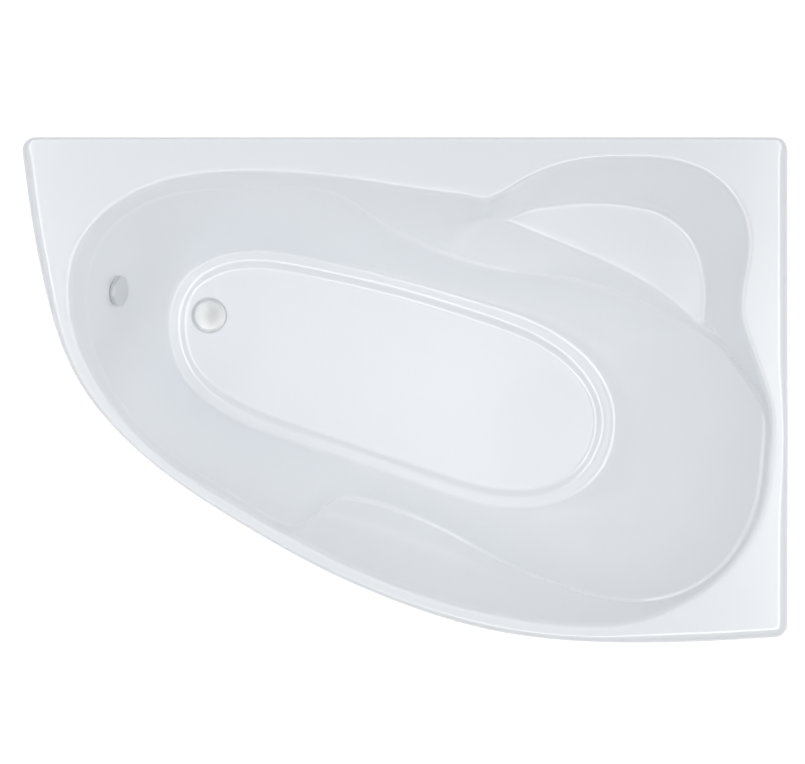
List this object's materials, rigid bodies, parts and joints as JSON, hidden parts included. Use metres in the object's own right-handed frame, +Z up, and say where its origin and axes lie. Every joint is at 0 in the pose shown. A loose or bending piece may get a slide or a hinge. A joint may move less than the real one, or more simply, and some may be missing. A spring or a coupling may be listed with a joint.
{
  "type": "acrylic bathtub",
  "caption": "Asymmetric acrylic corner bathtub with a moulded corner seat and arm rests, on a welded frame with screw legs, with overflow, press plug and trap.",
  "frame": {"origin": "on the floor, under the middle of the tub's outline", "axes": "+X along the length towards the seat end, +Y towards the long wall, +Z up"},
  "size_m": [1.4998, 0.99, 0.62],
  "materials": {
    "acrylic": "cast sanitary acrylic, gloss white with a cool tint",
    "laminate": "sprayed glass fibre laminate, rough and translucent cream",
    "chipboard": "raw chipboard with pressed flakes",
    "timber": "sawn softwood",
    "frame_paint": "dark grey powder coat on welded square tube",
    "zinc": "bright zinc plated steel",
    "steel": "stainless steel",
    "brass": "turned brass",
    "chrome": "polished chrome",
    "rubber": "black rubber",
    "pipe_plastic": "white polypropylene",
    "foot_plastic": "black moulded polyamide"
  },
  "bodies": {
    "tub": {"acrylic_shell": "acrylic", "back_rail": "frame_paint", "base_board": "chipboard", "board_screws": "zinc", "diagonal_rail": "frame_paint", "drain_body": "pipe_plastic", "drain_flange": "chrome", "drain_seal_bottom": "rubber", "drain_seal_top": "rubber", "fibreglass_backing": "laminate", "front_rail": "frame_paint", "left_cross_rail": "frame_paint", "leg_sleeves": "frame_paint", "lock_nuts": "zinc", "middle_cross_rail": "frame_paint", "outlet_nut": "pipe_plastic", "outlet_pipe": "pipe_plastic", "overflow_cap": "chrome", "overflow_elbow": "pipe_plastic", "overflow_faceplate": "pipe_plastic", "overflow_gasket": "rubber", "overflow_nut_lower": "pipe_plastic", "overflow_nut_upper": "pipe_plastic", "overflow_pipe": "pipe_plastic", "plug_cartridge": "brass", "plug_spring": "steel", "post_back_left": "frame_paint", "post_back_right": "frame_paint", "post_front_right": "frame_paint", "post_screws": "zinc", "right_rail": "frame_paint", "rim_block_back_left": "timber", "rim_block_back_right": "timber", "rim_block_front_right": "timber", "seat_board": "chipboard", "seat_post": "frame_paint", "seat_rail": "frame_paint", "trap_bend": "pipe_plastic", "trap_nut": "pipe_plastic"},
    "leg_back_left": {"leg_stud_back_left": "zinc", "leg_foot_back_left": "foot_plastic"},
    "leg_back_right": {"leg_stud_back_right": "zinc", "leg_foot_back_right": "foot_plastic"},
    "leg_front_right": {"leg_stud_front_right": "zinc", "leg_foot_front_right": "foot_plastic"},
    "leg_front_left": {"leg_stud_front_left": "zinc", "leg_foot_front_left": "foot_plastic"},
    "leg_centre": {"leg_stud_centre": "zinc", "leg_foot_centre": "foot_plastic"},
    "plug": {"plug_cap": "chrome", "plug_seal": "rubber", "plug_stem": "steel"}
  },
  "joints": [
    {"name": "leg_height_back_left", "type": "slide", "parent": "tub", "child": "leg_back_left", "axis": [0, 0, -1], "range_m": [-0.01, 0.02]},
    {"name": "leg_height_back_right", "type": "slide", "parent": "tub", "child": "leg_back_right", "axis": [0, 0, -1], "range_m": [-0.01, 0.02]},
    {"name": "leg_height_front_right", "type": "slide", "parent": "tub", "child": "leg_front_right", "axis": [0, 0, -1], "range_m": [-0.01, 0.02]},
    {"name": "leg_height_front_left", "type": "slide", "parent": "tub", "child": "leg_front_left", "axis": [0, 0, -1], "range_m": [-0.01, 0.02]},
    {"name": "leg_height_centre", "type": "slide", "parent": "tub", "child": "leg_centre", "axis": [0, 0, -1], "range_m": [-0.01, 0.02]},
    {"name": "plug_press", "type": "slide", "parent": "tub", "child": "plug", "axis": [0, 0, 1], "range_m": [0, 0.01], "deforming": ["plug_spring"]}
  ]
}
